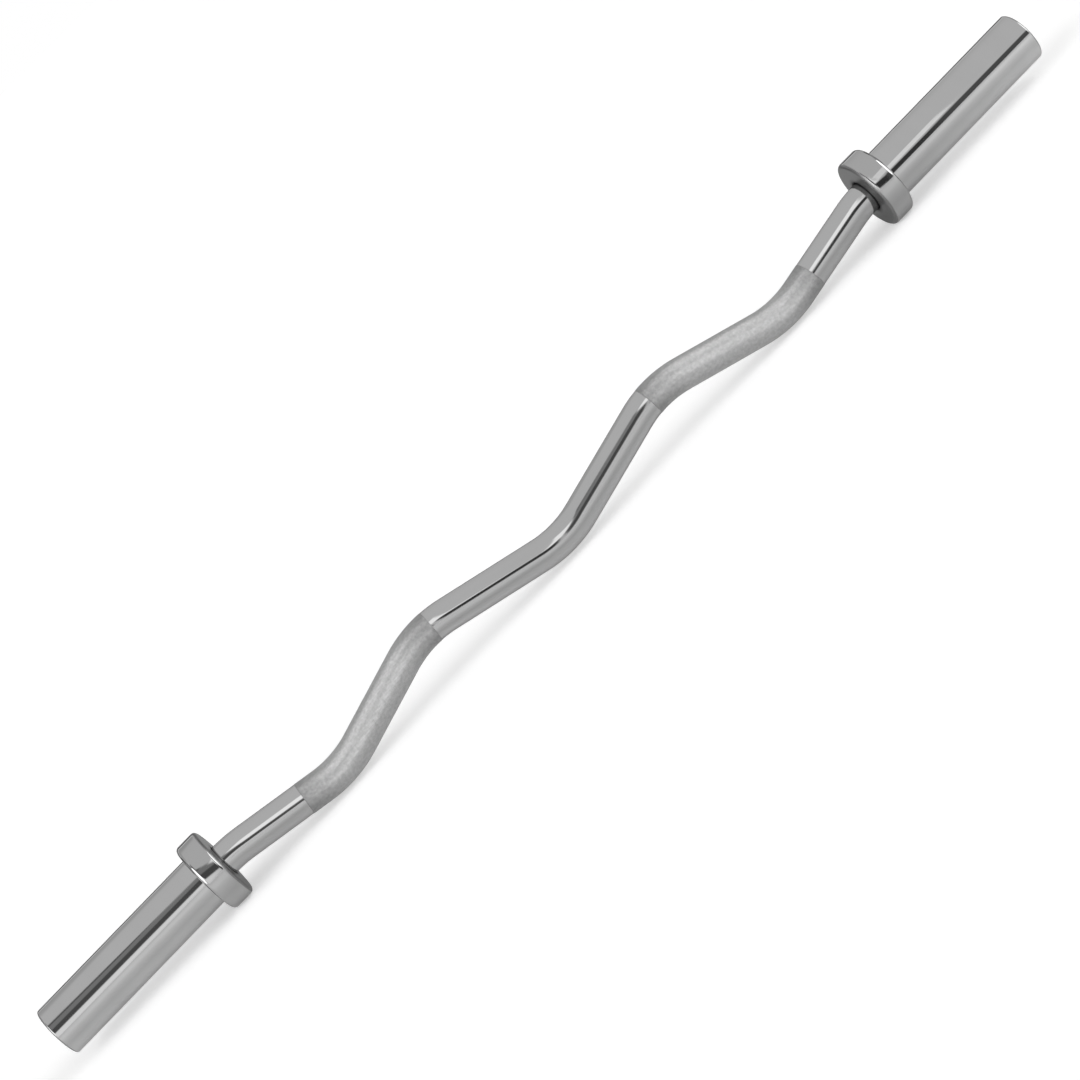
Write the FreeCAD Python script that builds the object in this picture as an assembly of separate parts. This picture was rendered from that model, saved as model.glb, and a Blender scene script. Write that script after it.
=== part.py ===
import FreeCAD, Part
import math
import os

# An EZ curl bar: a steel bar bent into a shallow W, with a plate sleeve spinning on each end.
# X runs along the sleeves, Z is up, and the W hangs in the XZ plane with its middle bend lowest.
# The origin is on the sleeves' axis, half way along the bar. All sizes are in millimetres.

# Lengths along X from the middle of the bar to its end
middle_run = 146.0
knurled_run = 127.0
end_run = 127.0
collar_thickness = 23.0
loading_length = 177.0

# The bent bar
bar_diameter = 30.0
middle_drop = 20.0
inner_rise = 16.5
outer_drop = 21.0
grip_bend_radius = 105.0
last_bend_radius = 120.0
last_straight = 1.0

# The knurled grips, which stand a little proud of the plain bar
knurl_raise = 0.2
knurl_start_share = 0.3
knurl_tail = 19.0

# The turned journals at the bar's two ends
shoulder_step = 2.5
journal_end_gap = 5.0
journal_chamfer = 1.0

# The collar that stops the plates
collar_height = 11.25
collar_lip = 5.0
collar_edge_radius = 4.0
collar_hole_clearance = 0.6
collar_hole_chamfer = 1.2
weld_recess_depth = 0.5
weld_recess_width = 1.0

# The sleeve that carries the plates
sleeve_diameter = 49.5
sleeve_wall = 5.5
sleeve_edge_radius = 2.0
spigot_step = 1.5
cap_seat_step = 2.0
cap_seat_depth = 9.0

# The bushings and washers that the sleeve runs on
bushing_length = 35.0
running_clearance = 0.05
end_play = 0.3
thrust_washer_thickness = 2.0
support_washer_thickness = 1.5
washer_bore_clearance = 0.1
washer_rim_clearance = 0.5

# The snap ring on the journal
journal_ring_thickness = 1.2
journal_ring_width = 3.0
journal_groove_depth = 0.55
journal_groove_inset = 4.7
journal_lug_radius = 2.0
journal_lug_hole = 2.0

# The end cap, and the snap ring that holds it in the sleeve
cap_thickness = 4.5
cap_clearance = 0.1
cap_edge_chamfer = 0.6
cap_boss_inset = 8.75
cap_boss_height = 1.4
cap_ring_thickness = 1.75
cap_ring_width = 3.9
cap_groove_depth = 1.25
cap_lug_radius = 2.9
cap_lug_hole = 2.5

# What both kinds of snap ring share
ring_groove_clearance = 0.1
ring_taper = 0.55
ring_gap = 6.0

# Where things lie along the right-hand half of the bar
outer_bend = middle_run + knurled_run
collar_face = outer_bend + end_run
sleeve_start = collar_face + collar_lip
plate_face = collar_face + collar_thickness
sleeve_seat = plate_face - weld_recess_depth
sleeve_end = plate_face + loading_length
shoulder = sleeve_start - end_play
inner_bushing_start = sleeve_start + thrust_washer_thickness
cap_seat = sleeve_end - cap_seat_depth
cap_face = cap_seat + cap_thickness
journal_end = cap_seat - journal_end_gap
journal_groove_end = journal_end - journal_groove_inset
journal_groove_start = journal_groove_end - journal_ring_thickness - ring_groove_clearance
support_washer_start = journal_groove_start - support_washer_thickness
outer_washer_start = support_washer_start - thrust_washer_thickness
outer_bushing_start = outer_washer_start - end_play - bushing_length

# Radii that several pieces share
bar_radius = bar_diameter / 2
journal_radius = bar_radius - shoulder_step
journal_groove_radius = journal_radius - journal_groove_depth
sleeve_radius = sleeve_diameter / 2
collar_radius = sleeve_radius + collar_height
spigot_radius = sleeve_radius - spigot_step
bore_radius = sleeve_radius - sleeve_wall
cap_seat_radius = bore_radius + cap_seat_step
cap_groove_radius = cap_seat_radius + cap_groove_depth

origin = FreeCAD.Vector(0, 0, 0)
along_x = FreeCAD.Vector(1, 0, 0)
along_z = FreeCAD.Vector(0, 0, 1)


def rod(radius, start, end, y=0.0, z=0.0):
    """A round bar along X from start to end."""
    return Part.makeCylinder(radius, end - start, FreeCAD.Vector(start, y, z), along_x)


def tube(outer_radius, inner_radius, start, end):
    """A round tube along X from start to end."""
    return rod(outer_radius, start, end).cut(rod(inner_radius, start, end))


def rim(solid, x, radius):
    """The circular edges of a turned solid that lie at x with the given radius."""
    near = 0.001
    circles = [edge for edge in solid.Edges if isinstance(edge.Curve, Part.Circle)]
    return [edge for edge in circles
            if abs(edge.Curve.Center.x - x) < near and abs(edge.Curve.Radius - radius) < near]


def turned_round(shape):
    """The same piece turned half round the vertical, which takes it to the bar's other end."""
    other = shape.copy()
    other.rotate(origin, along_z, 180)
    return other


def last_corner_reach():
    """Where the end run would meet the sleeves' axis, so that its bend is over just before the collar."""
    bend_end = collar_face - last_straight
    run = bend_end - outer_bend
    tangent_run = math.sqrt(run ** 2 + outer_drop ** 2 - 2 * last_bend_radius * outer_drop)
    return bend_end - last_bend_radius * outer_drop / (run + tangent_run)


def rounded(corner, before, after, radius):
    """The start, middle and end of the arc that rounds a corner between its two neighbours."""
    back = (before - corner).normalize()
    ahead = (after - corner).normalize()
    half_angle = back.getAngle(ahead) / 2
    inward = (back + ahead).normalize()
    tangent_length = radius / math.tan(half_angle)
    start = corner + back * tangent_length
    middle = corner + inward * (radius / math.sin(half_angle) - radius)
    end = corner + ahead * tangent_length
    return start, middle, end


def bends():
    """The seven arcs of the W from left to right, each between the straight runs beside it."""
    right_half = [
        (FreeCAD.Vector(middle_run, 0, inner_rise), grip_bend_radius),
        (FreeCAD.Vector(outer_bend, 0, -outer_drop), grip_bend_radius),
        (FreeCAD.Vector(last_corner_reach(), 0, 0), last_bend_radius),
        (FreeCAD.Vector(shoulder, 0, 0), 0),
    ]
    left_half = [(FreeCAD.Vector(-corner.x, 0, corner.z), radius) for corner, radius in reversed(right_half)]
    corners = left_half + [(FreeCAD.Vector(0, 0, -middle_drop), grip_bend_radius)] + right_half
    arcs = []
    for before, this, after in zip(corners, corners[1:], corners[2:]):
        arcs.append(rounded(this[0], before[0], after[0], this[1]))
    return arcs


def swept_bar(radius, runs):
    """A round bar swept along straight runs, given by two points, and arcs, given by three."""
    edges = []
    for run in runs:
        curve = Part.LineSegment(*run) if len(run) == 2 else Part.Arc(*run)
        edges.append(curve.toShape())
    direction = edges[0].tangentAt(edges[0].FirstParameter)
    section = Part.Face(Part.Wire(Part.Circle(runs[0][0], direction, radius).toShape()))
    return Part.Wire(edges).makePipe(section)


def bent_bar(arcs):
    """The plain bar from shoulder to shoulder, round all the bends."""
    place = FreeCAD.Vector(-shoulder, 0, 0)
    runs = []
    for arc in arcs:
        runs.append((place, arc[0]))
        runs.append(arc)
        place = arc[2]
    runs.append((place, FreeCAD.Vector(shoulder, 0, 0)))
    return swept_bar(bar_radius, runs)


def knurled_grip(inner_arc, outer_arc):
    """The raised grip: from its start on the inner bend, round the outer bend, and a little past it."""
    inner_end = inner_arc[2]
    outer_start, outer_middle, outer_end = outer_arc
    inner_edge = Part.Arc(*inner_arc).toShape()
    outer_edge = Part.Arc(*outer_arc).toShape()
    inner_first, inner_last = inner_edge.ParameterRange
    start_angle = inner_first + knurl_start_share * (inner_last - inner_first)
    grip_start = inner_edge.valueAt(start_angle)
    half_way = inner_edge.valueAt((start_angle + inner_last) / 2)
    leaving = outer_edge.tangentAt(outer_edge.LastParameter)
    runs = [
        (grip_start, half_way, inner_end),
        (inner_end, outer_start),
        outer_arc,
        (outer_end, outer_end + leaving * knurl_tail),
    ]
    return swept_bar(bar_radius + knurl_raise, runs)


def journal():
    """The turned end that the bushings run on, with the groove for its snap ring."""
    solid = rod(journal_radius, shoulder, journal_end)
    solid = solid.makeChamfer(journal_chamfer, rim(solid, journal_end, journal_radius))
    return solid.cut(tube(bar_radius, journal_groove_radius, journal_groove_start, journal_groove_end))


def shaft():
    """The one-piece bar: the bent W, its two knurled grips and the journals at its ends."""
    arcs = bends()
    middle = len(arcs) // 2
    grip = knurled_grip(arcs[middle + 1], arcs[middle + 2])
    end = journal()
    solid = bent_bar(arcs).fuse([grip, turned_round(grip), end, turned_round(end)])
    return solid.removeSplitter()


def collar():
    """The thick ring on the sleeve's inner end, whose lip hides the washer and bushing behind it."""
    hole_radius = bar_radius + collar_hole_clearance
    solid = rod(collar_radius, collar_face, plate_face)
    edges = rim(solid, collar_face, collar_radius) + rim(solid, plate_face, collar_radius)
    solid = solid.makeFillet(collar_edge_radius, edges)
    solid = solid.cut(rod(hole_radius, collar_face, sleeve_start))
    solid = solid.makeChamfer(collar_hole_chamfer, rim(solid, collar_face, hole_radius))
    socket = rod(spigot_radius, sleeve_start, sleeve_seat)
    weld_recess = rod(sleeve_radius + weld_recess_width, sleeve_seat, plate_face)
    return solid.cut([socket, weld_recess])


def sleeve_tube():
    """The plate sleeve: a tube with a spigot for the collar, a bushing bore and a seat for its end cap."""
    solid = rod(sleeve_radius, sleeve_seat, sleeve_end)
    solid = solid.makeFillet(sleeve_edge_radius, rim(solid, sleeve_end, sleeve_radius))
    solid = solid.fuse(rod(spigot_radius, sleeve_start, sleeve_seat))
    groove_end = cap_face + cap_ring_thickness + ring_groove_clearance
    bore = rod(bore_radius, sleeve_start, cap_seat)
    seat = rod(cap_seat_radius, cap_seat, sleeve_end)
    groove = rod(cap_groove_radius, cap_face, groove_end)
    return solid.cut([bore, seat, groove]).removeSplitter()


def bushing(start):
    """A plain bronze bushing pressed into the sleeve, in which the journal turns."""
    return tube(bore_radius, journal_radius + running_clearance, start, start + bushing_length)


def washer(start, thickness):
    """A flat washer round the journal, clear of the sleeve's bore."""
    outer_radius = bore_radius - washer_rim_clearance
    inner_radius = journal_radius + washer_bore_clearance
    return tube(outer_radius, inner_radius, start, start + thickness)


def lug_places(lug_radius, distance):
    """Where the two lugs of a snap ring stand, on either side of its gap at the top."""
    y = ring_gap / 2 + lug_radius
    z = math.sqrt(distance ** 2 - y ** 2)
    return [(-y, z), (y, z)]


def ring_opening(reach, start, end):
    """The block that opens a snap ring at the top."""
    return Part.makeBox(end - start, ring_gap, reach, FreeCAD.Vector(start, -ring_gap / 2, 0))


def journal_snap_ring():
    """The open spring ring in the journal's groove: widest opposite its gap, with lugs that stand out."""
    start = journal_groove_start
    end = start + journal_ring_thickness
    narrow = journal_ring_width * ring_taper
    outer_radius = journal_groove_radius + (journal_ring_width + narrow) / 2
    offset = (journal_ring_width - narrow) / 2
    places = lug_places(journal_lug_radius, journal_groove_radius + journal_lug_radius)
    lugs = [rod(journal_lug_radius, start, end, y, z) for y, z in places]
    holes = [rod(journal_lug_hole / 2, start, end, y, z) for y, z in places]
    reach = outer_radius + 2 * journal_lug_radius
    solid = rod(outer_radius, start, end, 0, -offset).fuse(lugs)
    return solid.cut([rod(journal_groove_radius, start, end), ring_opening(reach, start, end)] + holes)


def end_cap():
    """The plain turned disc that closes the sleeve, with a low boss in the middle."""
    radius = cap_seat_radius - cap_clearance
    boss_radius = cap_seat_radius - cap_boss_inset
    boss_face = cap_face + cap_boss_height
    disc = rod(radius, cap_seat, cap_face)
    disc = disc.makeChamfer(cap_edge_chamfer, rim(disc, cap_face, radius))
    boss = rod(boss_radius, cap_seat, boss_face)
    boss = boss.makeFillet(cap_boss_height / 2, rim(boss, boss_face, boss_radius))
    return disc.fuse(boss).removeSplitter()


def end_cap_snap_ring():
    """The open spring ring in the sleeve's groove: widest opposite its gap, with lugs that stand in."""
    start = cap_face
    end = start + cap_ring_thickness
    narrow = cap_ring_width * ring_taper
    inner_radius = cap_groove_radius - (cap_ring_width + narrow) / 2
    offset = (cap_ring_width - narrow) / 2
    places = lug_places(cap_lug_radius, cap_seat_radius - cap_lug_radius)
    lugs = [rod(cap_lug_radius, start, end, y, z) for y, z in places]
    holes = [rod(cap_lug_hole / 2, start, end, y, z) for y, z in places]
    ring = rod(cap_groove_radius, start, end).cut(rod(inner_radius, start, end, 0, offset))
    return ring.fuse(lugs).cut([ring_opening(cap_groove_radius, start, end)] + holes)


right_hand_pieces = {
    "collar": collar(),
    "sleeve_tube": sleeve_tube(),
    "inner_thrust_washer": washer(sleeve_start, thrust_washer_thickness),
    "inner_bushing": bushing(inner_bushing_start),
    "outer_bushing": bushing(outer_bushing_start),
    "outer_thrust_washer": washer(outer_washer_start, thrust_washer_thickness),
    "support_washer": washer(support_washer_start, support_washer_thickness),
    "journal_snap_ring": journal_snap_ring(),
    "end_cap": end_cap(),
    "end_cap_snap_ring": end_cap_snap_ring(),
}

os.makedirs("parts", exist_ok=True)
shaft().exportStep("parts/shaft.step")
for name, piece in right_hand_pieces.items():
    piece.exportStep(f"parts/right_{name}.step")
    turned_round(piece).exportStep(f"parts/left_{name}.step")
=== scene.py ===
import math

import bpy
import numpy as np
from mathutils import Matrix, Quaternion, Vector


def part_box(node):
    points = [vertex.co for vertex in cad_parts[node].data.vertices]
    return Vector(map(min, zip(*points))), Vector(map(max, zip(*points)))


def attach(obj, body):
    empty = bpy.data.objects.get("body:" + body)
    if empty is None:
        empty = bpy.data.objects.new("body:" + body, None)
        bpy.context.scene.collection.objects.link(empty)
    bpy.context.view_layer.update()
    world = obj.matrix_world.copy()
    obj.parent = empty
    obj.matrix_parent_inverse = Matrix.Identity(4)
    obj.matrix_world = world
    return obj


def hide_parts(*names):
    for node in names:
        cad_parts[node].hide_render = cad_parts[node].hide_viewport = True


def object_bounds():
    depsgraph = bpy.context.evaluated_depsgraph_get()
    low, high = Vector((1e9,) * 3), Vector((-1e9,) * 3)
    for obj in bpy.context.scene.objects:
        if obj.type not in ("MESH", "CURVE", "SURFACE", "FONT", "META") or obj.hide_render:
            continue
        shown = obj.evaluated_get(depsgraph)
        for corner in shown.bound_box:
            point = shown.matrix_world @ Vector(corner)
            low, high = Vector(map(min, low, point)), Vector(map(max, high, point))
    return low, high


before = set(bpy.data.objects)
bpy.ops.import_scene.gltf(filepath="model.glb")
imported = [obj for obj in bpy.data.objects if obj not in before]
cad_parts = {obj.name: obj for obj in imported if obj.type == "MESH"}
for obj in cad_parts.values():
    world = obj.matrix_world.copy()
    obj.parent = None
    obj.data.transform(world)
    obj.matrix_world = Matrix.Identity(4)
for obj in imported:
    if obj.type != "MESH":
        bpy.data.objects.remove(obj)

cad_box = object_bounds()


# The bent bar is one round steel bar, cold bent into a shallow W and then polished and chromed.
# Its middle bend and its outer bends hang down, and its ends are turned down to the journals that carry
# the sleeves, each with a groove for a snap ring. The grips rolled into it come in the next section.

bar_radius = 0.015
bar_corners = np.array([[0, -0.020], [0.146, 0.0165], [0.273, -0.021]])
grip_bend_radius = 0.105
last_bend_radius = 0.120
bend_end = 0.399
shoulder = 0.4047
journal_radius = 0.0125
journal_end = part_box("shaft")[1].x
journal_chamfer = 0.001
groove_radius = 0.01195
groove_start, groove_end = 0.580, 0.5813
bar_step = 0.002
bar_sides = 96


def last_corner():
    """How far out on the sleeves' axis the corner lies that the last bend rounds.

    From the bend's end back to the corner is the radius times the tangent of half the turn. That
    tangent is the outer corner's depth below the axis, divided by the run from there to the bend's
    end plus the length of the line from the outer corner that touches the bend's circle.
    """
    outer_x, outer_z = bar_corners[-1]
    run = bend_end - outer_x
    touching_run = math.sqrt(run ** 2 + outer_z ** 2 + 2 * last_bend_radius * outer_z)
    return bend_end + last_bend_radius * outer_z / (run + touching_run)


def bar_runs():
    """Lengths and curvatures of the runs in the right half of the bar's middle line.

    Arcs round the corners of the W and straights join them, so the runs are half the middle arc,
    a straight, an arc and so on, up to the straight that ends at the shoulder.
    """
    corners = np.vstack([bar_corners, [last_corner(), 0], [shoulder, 0]])
    radii = np.array([grip_bend_radius, grip_bend_radius, grip_bend_radius, last_bend_radius])
    across = np.diff(corners, axis=0)
    headings = np.arctan2(across[:, 1], across[:, 0])
    turns = np.diff(headings, prepend=-headings[0])
    tangents = radii * np.tan(np.abs(turns) / 2)
    straights = np.hypot(across[:, 0], across[:, 1]) - tangents - np.append(tangents[1:], 0)
    arcs = radii * np.abs(turns)
    arcs[0] /= 2
    lengths = np.column_stack([arcs, straights]).ravel()
    curvatures = np.column_stack([np.sign(turns) / radii, np.zeros(len(radii))]).ravel()
    return lengths, curvatures


run_lengths, run_curvatures = bar_runs()
run_ends = np.cumsum(run_lengths)
run_starts = run_ends - run_lengths
run_headings = np.cumsum(run_lengths * run_curvatures) - run_lengths * run_curvatures


def step_along(length, curvature, heading):
    """The step in x and z along an arc, which is its chord, headed half way round its turn.

    The chord is the arc's length times sin(a) / a, where a is half the turn.
    """
    half_turn = length * curvature / 2
    chord = length * np.sinc(half_turn / np.pi)
    heading = heading + half_turn
    return np.stack([chord * np.cos(heading), chord * np.sin(heading)], axis=-1)


run_steps = step_along(run_lengths, run_curvatures, run_headings)
run_places = np.cumsum(run_steps, axis=0) - run_steps
run_places[:, 1] -= run_places[-1, 1] + run_steps[-1, 1]


def bar_line(distance):
    """Points and headings of the middle line at distances from its middle, negative to the left.

    Each point is its run's start plus the step along that run, and the left half mirrors the right.
    """
    reach = np.abs(distance)
    side = np.where(distance < 0, -1.0, 1.0)
    run = np.clip(np.searchsorted(run_ends, reach), 0, len(run_ends) - 1)
    past = reach - run_starts[run]
    places = run_places[run] + step_along(past, run_curvatures[run], run_headings[run])
    headings = run_headings[run] + past * run_curvatures[run]
    points = np.stack([side * places[:, 0], np.zeros(len(reach)), places[:, 1]], axis=-1)
    return points, side * headings


def rings_round(points, headings, radii, angles):
    """Rings of points square to the middle line.

    Each point goes out from the line by its radius, at its angle from the upper side to the front.
    """
    up = np.stack([-np.sin(headings), np.zeros(len(headings)), np.cos(headings)], axis=-1)
    front = np.array([0.0, -1.0, 0.0])
    out = np.cos(angles)[..., None] * up[:, None] + np.sin(angles)[..., None] * front
    return points[:, None] + radii[..., None] * out


def piece_from(name, vertices, faces, crease=math.radians(30)):
    """A smooth piece whose edges stay sharp where two faces meet at more than the crease angle."""
    mesh = bpy.data.meshes.new(name)
    mesh.from_pydata(vertices.tolist(), [], faces)
    mesh.shade_smooth()
    mesh.set_sharp_from_angle(angle=crease)
    piece = bpy.data.objects.new(name, mesh)
    bpy.context.scene.collection.objects.link(piece)
    return piece


def skin(name, rings, looped=False):
    """A closed piece over rings of points: quads from each ring to the next, all the way round.

    A looped skin joins its last ring to its first. Any other has fans to the middles of its end rings.
    """
    rows, columns = rings.shape[:2]
    index = np.arange(rows * columns).reshape(rows, columns)
    here, beyond = (index, np.roll(index, -1, 0)) if looped else (index[:-1], index[1:])
    quads = np.stack([here, np.roll(here, -1, 1), np.roll(beyond, -1, 1), beyond], axis=-1)
    vertices = rings.reshape(-1, 3)
    faces = quads.reshape(-1, 4).tolist()
    if not looped:
        first_middle = np.full(columns, len(vertices))
        last_middle = first_middle + 1
        vertices = np.vstack([vertices, rings[0].mean(0), rings[-1].mean(0)])
        faces += np.stack([np.roll(index[0], -1), index[0], first_middle], axis=-1).tolist()
        faces += np.stack([index[-1], np.roll(index[-1], -1), last_middle], axis=-1).tolist()
    return piece_from(name, vertices, faces)


def bar_profile():
    """Distances along the bar and the radius at each.

    They are even steps along the W at the bar's radius, then the corners of the turned journal.
    """
    bent_length = run_ends[-1]
    bent = np.linspace(0, bent_length, round(bent_length / bar_step) + 1)
    turned = np.array([
        [shoulder, journal_radius],
        [groove_start, journal_radius],
        [groove_start, groove_radius],
        [groove_end, groove_radius],
        [groove_end, journal_radius],
        [journal_end - journal_chamfer, journal_radius],
        [journal_end, journal_radius - journal_chamfer],
    ])
    distances = np.concatenate([bent, bent_length + turned[:, 0] - shoulder])
    radii = np.concatenate([np.full(len(bent), bar_radius), turned[:, 1]])
    return np.concatenate([-distances[:0:-1], distances]), np.concatenate([radii[:0:-1], radii])


def node(tree, kind, inputs=None, **settings):
    """Adds a shader node, sets its options, and links or sets the inputs given by name or number."""
    made = tree.nodes.new(kind)
    for setting, value in settings.items():
        setattr(made, setting, value)
    for key, value in (inputs or {}).items():
        if isinstance(value, bpy.types.NodeSocket):
            tree.links.new(value, made.inputs[key])
        else:
            made.inputs[key].default_value = value
    return made


def calc(tree, operation, *values):
    """The result of one step of arithmetic on numbers or sockets."""
    return node(tree, "ShaderNodeMath", dict(enumerate(values)), operation=operation).outputs[0]


def noise(tree, place, scale, detail):
    """Soft noise from 0 to 1, with its scale in spots to the unit and its detail in finer layers."""
    inputs = {"Vector": place, "Scale": scale, "Detail": detail}
    return node(tree, "ShaderNodeTexNoise", inputs).outputs["Fac"]


def clouded_finish(name, cloud_scale):
    """Starts the group for a finish, in which clouds mix the bright and dull tones and the gloss.

    Roughness is the gloss plus the cloud times the haze. Returned are the group's tree, and the
    place and the height that the finish's own marks run between.
    """
    colour, value, vector = "NodeSocketColor", "NodeSocketFloat", "NodeSocketVector"
    inputs = {"Place": vector, "Bright": colour, "Dull": colour, "Gloss": value, "Haze": value}
    outputs = {"Color": colour, "Roughness": value, "Height": value}
    tree = bpy.data.node_groups.new(name, "ShaderNodeTree")
    for socket, kind in inputs.items():
        tree.interface.new_socket(socket, in_out="INPUT", socket_type=kind)
    for socket, kind in outputs.items():
        tree.interface.new_socket(socket, in_out="OUTPUT", socket_type=kind)
    given = node(tree, "NodeGroupInput").outputs
    result = node(tree, "NodeGroupOutput").inputs
    cloud = noise(tree, given["Place"], cloud_scale, detail=4.0)
    tones = {0: cloud, 6: given["Bright"], 7: given["Dull"]}
    tree.links.new(node(tree, "ShaderNodeMix", tones, data_type="RGBA").outputs[2], result["Color"])
    tree.links.new(calc(tree, "MULTIPLY_ADD", cloud, given["Haze"], given["Gloss"]), result["Roughness"])
    return tree, given["Place"], result["Height"]


def plated_finish():
    """Plate as the polishing mop leaves it: faint clouds in its tone and gloss, and fine hair lines."""
    tree, place, height = clouded_finish("plated_finish", cloud_scale=0.012)
    tree.links.new(noise(tree, place, scale=1.0, detail=3.0), height)
    return tree


def metal(name, group, inputs, line_scale, line_depth, edge_tint=1.0):
    """A metal with its tone, gloss and marks from a finish group, on the piece's own coordinates."""
    material = bpy.data.materials.new(name)
    material.use_nodes = True
    tree = material.node_tree
    shader = tree.nodes["Principled BSDF"]
    shader.inputs["Metallic"].default_value = 1.0
    shader.inputs["Specular Tint"].default_value = grey(edge_tint)
    place = node(tree, "ShaderNodeTexCoord").outputs["Object"]
    stretched = node(tree, "ShaderNodeMapping", {"Vector": place, "Scale": line_scale}).outputs["Vector"]
    finish = node(tree, "ShaderNodeGroup", {"Place": stretched, **inputs}, node_tree=group).outputs
    bump = node(tree, "ShaderNodeBump", {"Height": finish["Height"], "Distance": line_depth})
    tree.links.new(finish["Color"], shader.inputs["Base Color"])
    tree.links.new(finish["Roughness"], shader.inputs["Roughness"])
    tree.links.new(bump.outputs["Normal"], shader.inputs["Normal"])
    return material


def grey(level):
    """A neutral colour of one level."""
    return (level, level, level, 1.0)


plated = plated_finish()
chrome_edge_tint = 0.6
bar_chrome = metal("bar_chrome", plated, {
    "Bright": grey(0.47),
    "Dull": grey(0.43),
    "Gloss": 0.04,
    "Haze": 0.06,
}, line_scale=(300, 1500, 1500), line_depth=0.000004, edge_tint=chrome_edge_tint)

stations, station_radii = bar_profile()
round_angles = np.linspace(0, 2 * np.pi, bar_sides, endpoint=False)
line_points, line_headings = bar_line(stations)
bar_rings = rings_round(line_points, line_headings, station_radii[:, None], round_angles[None, :])
bar = skin("bent_bar", bar_rings)
bar.data.materials.append(bar_chrome)
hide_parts("shaft")
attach(bar, "bar")


# The two grips are knurled bands rolled into the bar before it is plated: crossed helical grooves leave
# rows of small diamonds with flat tops. Each band runs from near a third of the way round an inner bend to
# a little past the outer bend, and stands slightly proud of the plain bar.

knurl_pitch = 0.0015
knurls_round = 64
knurl_root = 0.01502
knurl_depth = 0.00017
knurl_flat = 0.2
knurl_start_share = 0.3
knurl_tail = 0.019
knurl_run_in = 0.0012
knurl_fade = 0.040
knurl_end_tone = 0.70
knurl_groove_shade = 0.72
knurl_flat_gloss = 0.10
knurl_start = run_starts[2] + knurl_start_share * run_lengths[2]
knurl_end = run_ends[4] + knurl_tail


def keep_values(grip, name, row_values):
    """Keeps a value for each row of a grip's points, and 0 at its end middles, for its material."""
    values = np.append(np.repeat(row_values, knurls_round), [0.0, 0.0])
    attribute = grip.data.attributes.new(name, "FLOAT", "POINT")
    attribute.data.foreach_set("value", values.astype(np.float32))


def knurled_band(name, side):
    """One grip: a closed net of diamonds, each with a flat top and four flanks down to the grooves.

    With s along the bar and t round it, the grooves follow u = i and v = j, where u and v are
    s / pitch plus and minus t / turn x count. So rows of diamonds lie half a pitch apart, each set
    off by half a space from the last. The grooves cross at a diamond's corners, and its flat is the
    same diamond drawn in to the flat's share. The radius runs in from the plain bar at both ends.
    """
    rows = round((knurl_end - knurl_start) / (knurl_pitch / 2)) - 1
    row = np.arange(rows)[:, None]
    crossing_row = np.arange(rows + 2)[:, None]
    space = 2 * np.arange(knurls_round)[None, :]
    middle = space + row % 2
    steps_along = [crossing_row, row + 1 - knurl_flat, row + 1, row + 1 + knurl_flat, row + 1]
    steps_round = [space + crossing_row % 2, middle, middle + knurl_flat, middle, middle - knurl_flat]
    along = np.concatenate(steps_along)[:, 0] * knurl_pitch / 2
    angles = np.concatenate(steps_round) * np.pi / knurls_round
    height = np.repeat([0.0, 1.0], [rows + 2, 4 * rows])
    from_end = np.minimum(along, along.max() - along)
    run_in = np.clip(from_end / knurl_run_in, 0, 1)
    points, headings = bar_line(side * (knurl_start + along))
    radii = bar_radius + run_in * (knurl_root - bar_radius + knurl_depth * height)
    rings = rings_round(points, headings, radii[:, None], angles)

    index = np.arange(angles.size).reshape(angles.shape)
    crossing, flat_corners = np.split(index, [rows + 2])
    low, right, high, left = np.split(flat_corners, 4)
    beside = crossing[1:-1]
    near, far = crossing[:-2], crossing[2:]
    near_right = np.where(row % 2 == 1, np.roll(beside, -1, 1), beside)
    near_left = np.where(row % 2 == 1, beside, np.roll(beside, 1, 1))
    quads = np.stack([
        np.stack([low, right, high, left], -1),
        np.stack([near, near_right, right, low], -1),
        np.stack([near_right, far, high, right], -1),
        np.stack([far, near_left, left, high], -1),
        np.stack([near_left, near, low, left], -1),
    ]).reshape(-1, 4)
    first, last = crossing[0], crossing[-1]
    next_first, next_last = np.roll(first, -1), np.roll(last, -1)
    before_last = np.roll(crossing[-2], -(rows % 2 == 0))
    centres = np.full((2, knurls_round), angles.size) + [[0], [1]]
    triangles = np.concatenate([
        np.stack([first, next_first, crossing[1]], -1),
        np.stack([last, before_last, next_last], -1),
        np.stack([next_first, first, centres[0]], -1),
        np.stack([last, next_last, centres[1]], -1),
    ])
    turned_way = slice(None, None, side)
    faces = quads[:, turned_way].tolist() + triangles[:, turned_way].tolist()
    vertices = np.vstack([rings.reshape(-1, 3), points[[0, rows + 1]]])
    grip = piece_from(name, vertices, faces, crease=math.radians(10))
    keep_values(grip, "knurl_height", run_in * height)
    keep_values(grip, "knurl_fullness", np.clip(from_end / knurl_fade, 0, 1))
    return grip


def ramp(tree, value, start, end, low, high, blend="LINEAR"):
    """Goes from low to high as the value goes from start to end, and stays level beyond them."""
    spans = {"Value": value, "From Min": start, "From Max": end, "To Min": low, "To Max": high}
    return node(tree, "ShaderNodeMapRange", spans, interpolation_type=blend).outputs["Result"]


def dimmed(tree, colour, share):
    """A colour times a share from 0 to 1."""
    inputs = {"Vector": colour, "Scale": share}
    return node(tree, "ShaderNodeVectorMath", inputs, operation="SCALE").outputs["Vector"]


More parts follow.
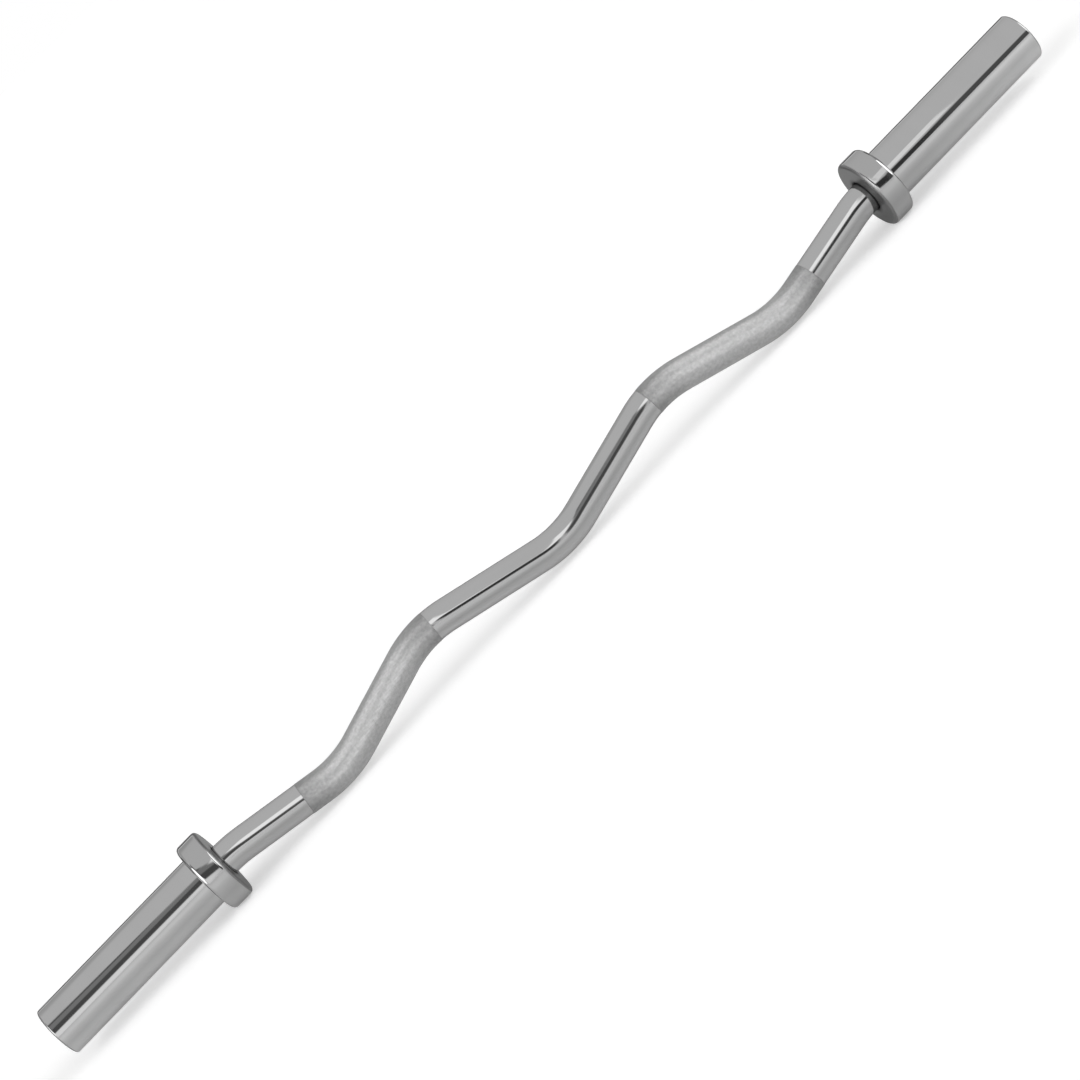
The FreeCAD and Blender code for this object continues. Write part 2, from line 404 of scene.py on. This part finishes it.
def knurled_chrome():
    """Plate over the knurl: bright and glossy on the flats, rougher down in the grooves, and greyer there by
    painted shade.

    It gets darker towards the two ends of the band.
    """
    material = metal("knurled_chrome", plated, {
        "Bright": grey(0.69),
        "Dull": grey(0.39),
        "Gloss": 0.34,
        "Haze": 0.14,
    }, line_scale=(30000, 30000, 30000), line_depth=0.000001, edge_tint=chrome_edge_tint)
    tree = material.node_tree
    shader = tree.nodes["Principled BSDF"].inputs
    finish = shader["Base Color"].links[0].from_node.outputs
    height = node(tree, "ShaderNodeAttribute", attribute_name="knurl_height").outputs["Fac"]
    fullness = node(tree, "ShaderNodeAttribute", attribute_name="knurl_fullness").outputs["Fac"]
    # Painted shade greys the grooves, by the depth of each point.
    groove_shade = ramp(tree, height, 0, 1, knurl_groove_shade, 1)
    end_shade = ramp(tree, fullness, 0, 1, knurl_end_tone, 1)
    shade = calc(tree, "MULTIPLY", groove_shade, end_shade)
    rough = calc(tree, "MULTIPLY_ADD", height, -knurl_flat_gloss, finish["Roughness"])
    tree.links.new(dimmed(tree, finish["Color"], shade), shader["Base Color"])
    tree.links.new(rough, shader["Roughness"])
    return material


ends = {"left": -1, "right": 1}
knurl_chrome = knurled_chrome()
for side_name, side in ends.items():
    grip = knurled_band(f"{side_name}_knurled_grip", side)
    grip.data.materials.append(knurl_chrome)
    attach(grip, "bar")


# The collars are thick turned rings, pushed on to the sleeves' spigots and welded there, then chromed.
# Their lips close in round the bar and hide the washers and bushings. The rim is polished, and the face
# towards the hands keeps its turning marks under the plate.

collar_inner_face, collar_outer_face = 0.400, 0.423
collar_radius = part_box("right_collar")[1].y
collar_edge = 0.004
collar_hole = 0.0156
hole_chamfer = 0.0012
collar_lip_end = 0.405
spigot_radius = 0.02325
sleeve_radius = 0.02475
sleeve_seat = 0.4225
weld_recess_radius = 0.02575
turned_sides = 192
ring_pitch = 0.0004
ring_scale = (2 * math.pi / ring_pitch,) * 3
polish_scale, polish_depth = (2500, 60, 60), 0.000004
# Painted shade darkens the turned plate towards the axis, where the bar goes into the collar's hole.
hole_shade_reach, hole_shade_tone = 0.005, 0.12
face_fade_start, face_fade_end = 0.0012, 0.0022


def corner_arc(x, radius, size, start, end, steps=10):
    """Profile points round a corner: an arc about (x, radius), with its angles in degrees from +X."""
    angles = np.radians(np.linspace(start, end, steps + 1))
    return np.column_stack([x + size * np.cos(angles), radius + size * np.sin(angles)])


def turned_rings(profile, side):
    """A profile of x and radius turned about the X axis, as rings of points.

    The left-hand rings are the right-hand ones turned half way round about the Z axis.
    """
    angles = np.linspace(0, 2 * np.pi, turned_sides, endpoint=False)
    x, radius = profile[:, :1], profile[:, 1:]
    rings = np.stack([x + 0 * angles, -radius * np.sin(angles), radius * np.cos(angles)], axis=-1)
    return rings * np.array([side, side, 1])


collar_profile = np.vstack([
    [collar_inner_face + hole_chamfer, collar_hole],
    [collar_inner_face, collar_hole + hole_chamfer],
    corner_arc(collar_inner_face + collar_edge, collar_radius - collar_edge, collar_edge, 180, 90),
    corner_arc(collar_outer_face - collar_edge, collar_radius - collar_edge, collar_edge, 90, 0),
    [collar_outer_face, weld_recess_radius],
    [sleeve_seat, weld_recess_radius],
    [sleeve_seat, spigot_radius],
    [collar_lip_end, spigot_radius],
    [collar_lip_end, collar_hole],
])


def from_axis(tree, place):
    """The distance of a place from the X axis: the length of its Y and Z parts."""
    aside = node(tree, "ShaderNodeVectorMath", {0: place, 1: (0, 1, 1)}, operation="MULTIPLY")
    length = node(tree, "ShaderNodeVectorMath", {0: aside.outputs["Vector"]}, operation="LENGTH")
    return length.outputs["Value"]


def turned_face_finish():
    """A face left as the lathe made it: rings about the X axis, with clouds in tone and gloss.

    The rings' height is the sine of the distance from the axis, in a place that is scaled so that
    one ring takes a full turn of the sine.
    """
    tree, place, height = clouded_finish("turned_face_finish", cloud_scale=0.1)
    tree.links.new(calc(tree, "SINE", from_axis(tree, place)), height)
    return tree


def blended(tree, mask, value, other):
    """A value that gives way to another as the mask goes from 0 to 1."""
    return node(tree, "ShaderNodeMix", {0: mask, 2: value, 3: other}).outputs[0]


def part_turned_chrome(name, plate, turned_plate, turned_where):
    """Polished plate, with duller turned plate where the mask from turned_where is 1.

    That function takes the tree, the distance along from the bar's middle, and the radius, which is
    the distance from the sleeves' axis. Painted shade darkens the turned plate towards the axis.
    """
    material = metal(name, plated, plate, polish_scale, polish_depth, chrome_edge_tint)
    tree = material.node_tree
    shader = tree.nodes["Principled BSDF"].inputs
    polished = shader["Base Color"].links[0].from_node.outputs
    bump = shader["Normal"].links[0].from_node.inputs
    place = node(tree, "ShaderNodeTexCoord").outputs["Object"]
    along = calc(tree, "ABSOLUTE", node(tree, "ShaderNodeSeparateXYZ", {0: place}).outputs["X"])
    radius = from_axis(tree, place)
    mask = turned_where(tree, along, radius)
    marks = node(tree, "ShaderNodeMapping", {"Vector": place, "Scale": ring_scale}).outputs["Vector"]
    turned = node(tree, "ShaderNodeGroup", {"Place": marks, **turned_plate}, node_tree=turned_face).outputs
    # Painted shade: the turned plate grows darker towards the axis, round the collar's hole.
    hole_shade = ramp(tree, radius, collar_hole, collar_hole + hole_shade_reach, hole_shade_tone, 1)
    tones = {0: mask, 6: polished["Color"], 7: dimmed(tree, turned["Color"], hole_shade)}
    tree.links.new(node(tree, "ShaderNodeMix", tones, data_type="RGBA").outputs[2], shader["Base Color"])
    for socket, target in (("Roughness", shader["Roughness"]), ("Height", bump["Height"])):
        tree.links.new(blended(tree, mask, polished[socket], turned[socket]), target)
    return material


def face_of_collar(tree, along, radius):
    """The collar's hole and its face towards the hands, with the near half of the rounded edge.

    There the distance along plus the radius is less than round the rest of the edge.
    """
    edge = collar_inner_face + collar_radius
    reach = calc(tree, "ADD", along, radius)
    return ramp(tree, reach, edge + face_fade_start, edge + face_fade_end, 1, 0)


turned_face = turned_face_finish()
collar_chrome = part_turned_chrome("collar_chrome", {
    "Bright": grey(0.43),
    "Dull": grey(0.385),
    "Gloss": 0.04,
    "Haze": 0.06,
}, {
    "Bright": grey(0.25),
    "Dull": grey(0.19),
    "Gloss": 0.30,
    "Haze": 0.15,
}, face_of_collar)

for side_name, side in ends.items():
    collar = skin(f"{side_name}_stop_collar", turned_rings(collar_profile, side), looped=True)
    collar.data.materials.append(collar_chrome)
    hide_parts(f"{side_name}_collar")
    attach(collar, f"{side_name}_sleeve")


# The sleeves are steel tubes that carry the plates, ground, polished and chromed. Each has a spigot that
# goes into its collar, a bore for the two bushings, and a seat and a groove for its end cap and snap ring.

sleeve_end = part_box("right_sleeve_tube")[1].x
sleeve_edge = 0.002
bore_radius = 0.01925
cap_seat, cap_seat_radius = 0.591, 0.02125
cap_groove_start, cap_groove_end, cap_groove_radius = 0.5955, 0.59735, 0.0225
turned_end_start, turned_end_full = sleeve_end - 0.0016, sleeve_end - 0.0010
inside_limit = spigot_radius - 0.0001

sleeve_profile = np.vstack([
    [collar_lip_end, bore_radius],
    [collar_lip_end, spigot_radius],
    [sleeve_seat, spigot_radius],
    [sleeve_seat, sleeve_radius],
    corner_arc(sleeve_end - sleeve_edge, sleeve_radius - sleeve_edge, sleeve_edge, 90, 0),
    [sleeve_end, cap_seat_radius],
    [cap_groove_end, cap_seat_radius],
    [cap_groove_end, cap_groove_radius],
    [cap_groove_start, cap_groove_radius],
    [cap_groove_start, cap_seat_radius],
    [cap_seat, cap_seat_radius],
    [cap_seat, bore_radius],
])


def end_of_sleeve(tree, along, radius):
    """The sleeve's outer end, from within its rounded edge, and the inside of its bore."""
    end = ramp(tree, along, turned_end_start, turned_end_full, 0, 1)
    inside = calc(tree, "LESS_THAN", radius, inside_limit)
    return calc(tree, "MAXIMUM", end, inside)


sleeve_chrome = part_turned_chrome("sleeve_chrome", {
    "Bright": grey(0.47),
    "Dull": grey(0.43),
    "Gloss": 0.035,
    "Haze": 0.06,
}, {
    "Bright": grey(0.26),
    "Dull": grey(0.20),
    "Gloss": 0.30,
    "Haze": 0.15,
}, end_of_sleeve)

for side_name, side in ends.items():
    sleeve = skin(f"{side_name}_plate_sleeve", turned_rings(sleeve_profile, side), looped=True)
    sleeve.data.materials.append(sleeve_chrome)
    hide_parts(f"{side_name}_sleeve_tube")
    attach(sleeve, f"{side_name}_sleeve")


# The end caps are turned steel discs with a low boss, plated and left satin. They close the ends of the
# sleeves, and a snap ring holds each of them against its seat.

cap_radius, cap_face, cap_chamfer = 0.02115, 0.5955, 0.0006
boss_radius, boss_face, boss_edge = 0.0125, 0.5969, 0.0007

cap_profile = np.vstack([
    [cap_seat, cap_radius],
    [cap_face - cap_chamfer, cap_radius],
    [cap_face, cap_radius - cap_chamfer],
    [cap_face, boss_radius],
    corner_arc(boss_face - boss_edge, boss_radius - boss_edge, boss_edge, 90, 0),
])

satin_steel = metal("satin_steel", turned_face, {
    "Bright": grey(0.42),
    "Dull": grey(0.36),
    "Gloss": 0.22,
    "Haze": 0.12,
}, line_scale=ring_scale, line_depth=0.00001)

for side_name, side in ends.items():
    cap = skin(f"{side_name}_sleeve_cap", turned_rings(cap_profile, side))
    cap.data.materials.append(satin_steel)
    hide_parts(f"{side_name}_end_cap")
    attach(cap, f"{side_name}_sleeve")


# The bushings and thrust washers are turned bronze, greased. The bushings are pressed into the sleeves, and
# the washers sit on the journals. They lie hidden there and keep their CAD shapes.

bronze = metal("bronze", plated, {
    "Bright": (0.66, 0.45, 0.23, 1.0),
    "Dull": (0.50, 0.31, 0.14, 1.0),
    "Gloss": 0.22,
    "Haze": 0.2,
}, line_scale=(3000, 200, 200), line_depth=0.000006)


def finish_parts(material, *part_names):
    """Gives a material to the CAD parts of these names at both ends of the bar."""
    for side_name in ends:
        for part_name in part_names:
            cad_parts[f"{side_name}_{part_name}"].data.materials[0] = material


finish_parts(bronze, "inner_bushing", "outer_bushing", "inner_thrust_washer", "outer_thrust_washer")


# The support washers are flat rings of zinc plated steel. Each sits on its journal and backs the snap ring
# there. They keep their CAD shapes.

zinc_steel = metal("zinc_steel", turned_face, {
    "Bright": (0.60, 0.60, 0.57, 1.0),
    "Dull": (0.47, 0.48, 0.47, 1.0),
    "Gloss": 0.25,
    "Haze": 0.2,
}, line_scale=ring_scale, line_depth=0.000006)

finish_parts(zinc_steel, "support_washer")


# The snap rings are stamped from spring steel and blackened with oil. One holds each end cap in its sleeve,
# and one holds each sleeve on its journal. They keep their CAD shapes.

spring_steel = metal("spring_steel", plated, {
    "Bright": (0.10, 0.10, 0.105, 1.0),
    "Dull": (0.055, 0.055, 0.06, 1.0),
    "Gloss": 0.3,
    "Haze": 0.2,
}, line_scale=(1500, 1500, 1500), line_depth=0.000008)

finish_parts(spring_steel, "journal_snap_ring", "end_cap_snap_ring")


# The floor is one pale sheet under the collars. It is lit like the bar and keeps its shadow. What the camera
# sees of it is lifted to the white of the background, and what mirrors see is lifted too, by painted light:
# least a little in front of the bar and behind it, more near the left-hand end, and most near the right-hand
# one.

floor_level = cad_box[0][2]
floor_reach = 30.0
floor_tone = 0.8
floor_lift_seen = 0.38
floor_lift_under, floor_lift_far = 0.28, 0.30
floor_shaded_reach, floor_far_reach = 0.045, 0.14
floor_lift_left, floor_left_start, floor_left_reach = 0.12, -0.34, -0.44
floor_lift_right, floor_right_start, floor_right_reach = 0.28, 0.40, 0.66
floor_ends_fade_start, floor_ends_fade_reach = 0.25, 0.50

floor_corners = floor_reach * np.array([[-1, -1, 0], [1, -1, 0], [1, 1, 0], [-1, 1, 0]])
floor_corners += [0, 0, floor_level]
floor_mesh = bpy.data.meshes.new("floor")
floor_mesh.from_pydata(floor_corners.tolist(), [], [[0, 1, 2, 3]])
floor = bpy.data.objects.new("floor", floor_mesh)
bpy.context.scene.collection.objects.link(floor)

floor_paint = bpy.data.materials.new("floor_paint")
floor_paint.use_nodes = True
floor_tree = floor_paint.node_tree
paint = floor_tree.nodes["Principled BSDF"].inputs
paint["Base Color"].default_value = grey(floor_tone)
paint["Roughness"].default_value = 0.9
paint["Specular IOR Level"].default_value = 0.0
paint["Emission Color"].default_value = grey(1.0)
floor_place = node(floor_tree, "ShaderNodeTexCoord").outputs["Object"]
floor_axes = node(floor_tree, "ShaderNodeSeparateXYZ", {0: floor_place}).outputs
floor_aside = calc(floor_tree, "ABSOLUTE", floor_axes["Y"])
lift_close = ramp(floor_tree, floor_aside, 0, floor_shaded_reach, floor_lift_under, 0)
lift_open = ramp(floor_tree, floor_aside, floor_shaded_reach, floor_far_reach, 0, floor_lift_far)
lift_left = ramp(floor_tree, floor_axes["X"], floor_left_start, floor_left_reach, 0, floor_lift_left)
lift_right = ramp(floor_tree, floor_axes["X"], floor_right_start, floor_right_reach, 0, floor_lift_right)
lift_aside = calc(floor_tree, "ADD", lift_close, lift_open)
lift_ends = calc(floor_tree, "ADD", lift_left, lift_right)
ends_fade = ramp(floor_tree, floor_aside, floor_ends_fade_start, floor_ends_fade_reach, 1, 0)
lift_mirrored = calc(floor_tree, "MULTIPLY_ADD", lift_ends, ends_fade, lift_aside)
floor_path = node(floor_tree, "ShaderNodeLightPath").outputs
floor_mirrored = calc(floor_tree, "MAXIMUM", floor_path["Is Glossy Ray"], floor_path["Is Transmission Ray"])
mirrored_glow = calc(floor_tree, "MULTIPLY", floor_mirrored, lift_mirrored)
floor_lift = calc(floor_tree, "MULTIPLY_ADD", floor_path["Is Camera Ray"], floor_lift_seen, mirrored_glow)
floor_tree.links.new(floor_lift, paint["Emission Strength"])
floor_mesh.materials.append(floor_paint)


# The studio is a white room, tipped with the camera as the bar lies aslant in its view. The chrome mirrors
# its walls, with a glow low on the left, and the diffuser overhead. Between the two is a dark gap, broken in
# the middle, with a strip light above it and a shade to its left. Behind the bar runs a level gap.

# A span is a start, an end and a blur. Turns to the right and rises are in degrees of the tipped room, and
# depths, heights and widths are parts of a sight line of length 1. A slope is a rise for each degree of turn.
# The back has a level gap with a strip light over it, and the walls at both sides are dimmer.
room_light = 0.50
studio_tip = math.radians(-45)
no_end = 200.0
wall_tone = 0.95
back_tone, back_depths = 0.70, (0.1, no_end, 0.3)
diffuser_tone, diffuser_rises = 0.87, (26.0, no_end, 8.0)
back_strip_tone, back_strip_heights = 1.4, (0.30, 0.42, 0.06)
back_gap_tone, back_gap_heights = 0.10, (0.12, 0.30, 0.06)
glow_tone, glow_turns, glow_rises = 1.35, (-40.0, -4.0, 14.0), (-14.0, 6.0, 14.0)
shade_tone, shade_turns, shade_rises = 0.34, (-80.0, -15.0, 6.0), (6.0, 26.0, 4.0)
shade_rim_tone, shade_rim_turns, shade_rim_rises = 0.14, (-80.0, -43.5, 3.0), (23.4, 26.0, 1.5)
strip_tone, strip_turns = 1.7, (-33.0, -4.0, 5.0)
strip_bottom, strip_bottom_slope = (17.5, no_end, 4.0), 0.22
strip_top, strip_top_slope = (-no_end, 21.0, 4.0), 0.6
gap_slope = -0.25
left_gap_tone, left_gap_widths, left_gap_rises = 0.12, (-0.80, 0.075, 0.03), (9.0, 24.0, 4.0)
right_gap_tone, right_gap_widths, right_gap_rises = 0.06, (0.115, 0.80, 0.03), (9.0, 25.0, 4.0)
far_gap_tone, far_gap_widths, far_gap_rises = 0.13, (0.315, 0.80, 0.03), (5.0, 27.5, 4.0)
side_tone, side_widths = 0.50, (0.75, no_end, 0.2)

world = bpy.data.worlds.new("studio")
world.use_nodes = True
bpy.context.scene.world = world
sky = world.node_tree
sky.nodes.clear()


def both(first, second):
    """Where two masks overlap: their product."""
    return calc(sky, "MULTIPLY", first, second)


def band(value, span):
    """A mask that is 1 where the value lies within the span, with edges as soft as its blur."""
    start, end, blur = span
    rising = ramp(sky, value, start - blur / 2, start + blur / 2, 0, 1, "SMOOTHSTEP")
    falling = ramp(sky, value, end - blur / 2, end + blur / 2, 1, 0, "SMOOTHSTEP")
    return both(rising, falling)


def leaning(slope):
    """A rise that leans: the rise plus the slope for each degree of turn."""
    return calc(sky, "MULTIPLY_ADD", turn, slope, rise)


sight = node(sky, "ShaderNodeTexCoord").outputs["Generated"]
sight_axes = node(sky, "ShaderNodeSeparateXYZ", {0: sight}).outputs
tipped = node(sky, "ShaderNodeMapping", {"Vector": sight, "Rotation": (0, studio_tip, 0)}).outputs["Vector"]
tipped_axes = node(sky, "ShaderNodeSeparateXYZ", {0: tipped}).outputs
rise = calc(sky, "DEGREES", calc(sky, "ARCSINE", tipped_axes["Z"]))
forward = calc(sky, "MULTIPLY", tipped_axes["Y"], -1.0)
turn = calc(sky, "DEGREES", calc(sky, "ARCTAN2", tipped_axes["X"], forward))
width, height = sight_axes["X"], sight_axes["Z"]

behind = band(tipped_axes["Y"], back_depths)
strip_edges = both(band(leaning(strip_bottom_slope), strip_bottom), band(leaning(strip_top_slope), strip_top))
gap_rise = leaning(gap_slope)
mirrored_tone = wall_tone
for mask, tone in (
    (behind, back_tone),
    (band(rise, diffuser_rises), diffuser_tone),
    (both(behind, band(height, back_strip_heights)), back_strip_tone),
    (both(behind, band(height, back_gap_heights)), back_gap_tone),
    (both(band(turn, glow_turns), band(rise, glow_rises)), glow_tone),
    (both(band(turn, shade_turns), band(rise, shade_rises)), shade_tone),
    (both(band(turn, shade_rim_turns), band(rise, shade_rim_rises)), shade_rim_tone),
    (both(band(turn, strip_turns), strip_edges), strip_tone),
    (both(band(width, left_gap_widths), band(gap_rise, left_gap_rises)), left_gap_tone),
    (both(band(width, right_gap_widths), band(gap_rise, right_gap_rises)), right_gap_tone),
    (both(band(width, far_gap_widths), band(gap_rise, far_gap_rises)), far_gap_tone),
    (band(calc(sky, "ABSOLUTE", width), side_widths), side_tone),
):
    mirrored_tone = blended(sky, mask, mirrored_tone, tone)

sky_path = node(sky, "ShaderNodeLightPath").outputs
sky_mirrored = calc(sky, "MAXIMUM", sky_path["Is Glossy Ray"], sky_path["Is Transmission Ray"])
sky_tone = blended(sky, sky_mirrored, room_light, mirrored_tone)
sky_tone = blended(sky, sky_path["Is Camera Ray"], sky_tone, 1.0)
background = node(sky, "ShaderNodeBackground", {"Color": grey(1.0), "Strength": sky_tone})
node(sky, "ShaderNodeOutputWorld", {"Surface": background.outputs["Background"]})


# Two soft lights shine from in front of the bar, from its left and right and a little above. They light
# the knurling from the sides, and give the floor its faint shadow.

light_spread = math.radians(50)
light_strength = 1.4
light_places = {"left_soft_light": (-2.4, -1.2, 1.1), "right_soft_light": (2.4, -1.2, 1.1)}
for light_name, light_place in light_places.items():
    lamp = bpy.data.lights.new(light_name, "SUN")
    lamp.angle = light_spread
    lamp.energy = light_strength
    lamp_stand = bpy.data.objects.new(light_name, lamp)
    lamp_stand.location = light_place
    lamp_stand.rotation_euler = (-Vector(light_place)).to_track_quat("-Z", "Y").to_euler()
    bpy.context.scene.collection.objects.link(lamp_stand)


# A small soft box stands close before the right-hand end, and draws a white line along the collar and the
# inner half of the sleeve there.

near_box_place = Vector((0.71, -0.80, 0.50))
near_box_aim = Vector((0.47, 0.0, 0.0))
near_box_wide, near_box_high = 0.20, 0.26
near_box_power = 0.08
near_lamp = bpy.data.lights.new("near_soft_box", "AREA")
near_lamp.shape = "RECTANGLE"
near_lamp.size = near_box_wide
near_lamp.size_y = near_box_high
near_lamp.energy = near_box_power
near_stand = bpy.data.objects.new("near_soft_box", near_lamp)
near_stand.location = near_box_place
near_stand.rotation_euler = (near_box_aim - near_box_place).to_track_quat("-Z", "Y").to_euler()
bpy.context.scene.collection.objects.link(near_stand)


# The camera looks down on the bar from in front and left of its middle, and is tipped so that the bar runs
# from the lower left to the upper right.

camera_place = Vector((-0.20526, -2.21459, 0.6218))
camera_aim = Vector((-0.0161, -0.0010, -0.0037))
camera_roll = math.radians(-44.64)

camera = bpy.data.cameras.new("camera")
camera.lens = 89.23
camera.sensor_width = 36.0
camera_stand = bpy.data.objects.new("camera", camera)
camera_stand.location = camera_place
level = (camera_aim - camera_place).to_track_quat("-Z", "Y")
camera_stand.rotation_euler = (level @ Quaternion((0, 0, 1), camera_roll)).to_euler()
bpy.context.scene.collection.objects.link(camera_stand)
bpy.context.scene.camera = camera_stand
bpy.context.scene.view_settings.view_transform = "Standard"
